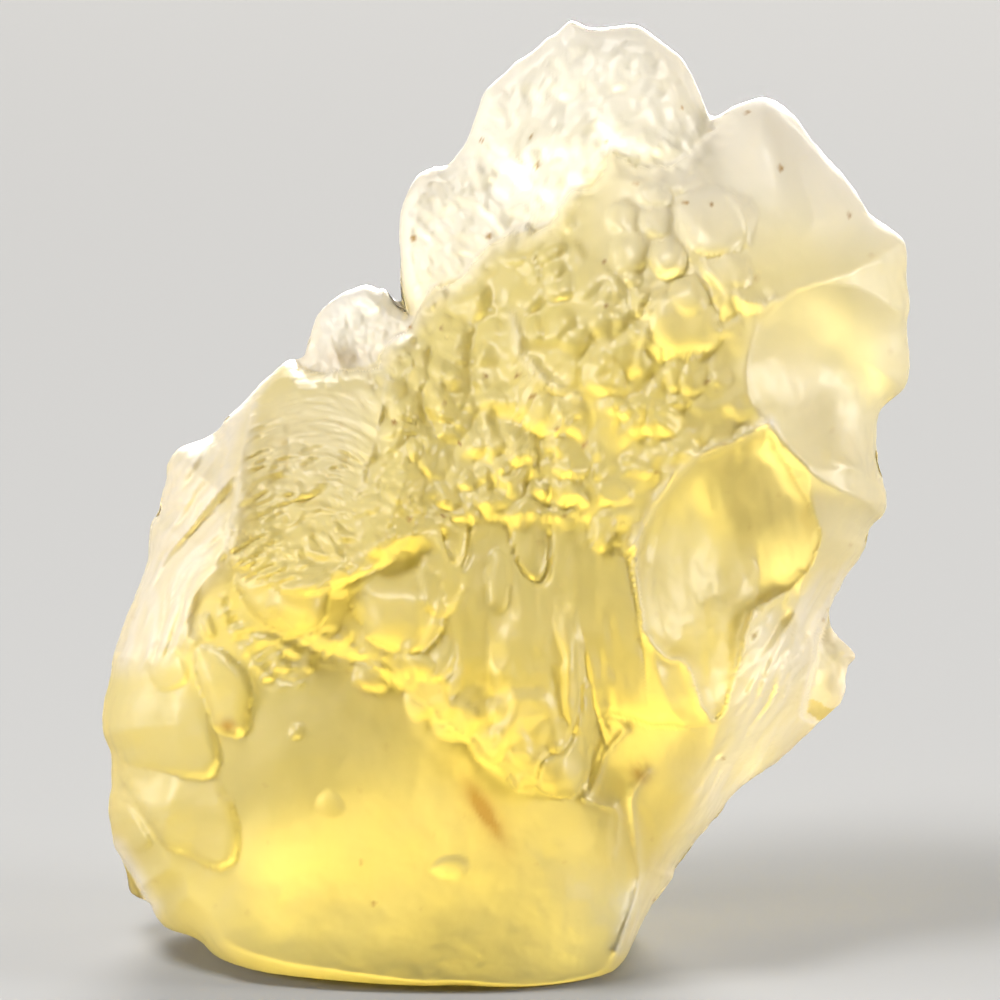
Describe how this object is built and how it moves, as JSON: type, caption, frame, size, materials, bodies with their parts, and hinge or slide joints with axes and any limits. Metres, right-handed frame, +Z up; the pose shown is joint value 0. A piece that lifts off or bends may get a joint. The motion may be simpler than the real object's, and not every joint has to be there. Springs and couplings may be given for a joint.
{
  "type": "raw desert glass",
  "caption": "Upright lump of raw translucent yellow natural glass with scooped hollows, run tongues, blisters and thin pale crests, standing on a flattened underside.",
  "frame": {"origin": "on the floor, on the flattened underside, under the middle of the stone", "axes": "+Z up through the stone, +X to the right seen from the front, +Y away from the viewer"},
  "size_m": [0.0404, 0.0256, 0.0446],
  "materials": {
    "glass": "translucent pale yellow glass, waxy and frosted by natural etching, paler where it is thin"
  },
  "bodies": {
    "root": {"desert_glass": "glass"}
  },
  "joints": []
}
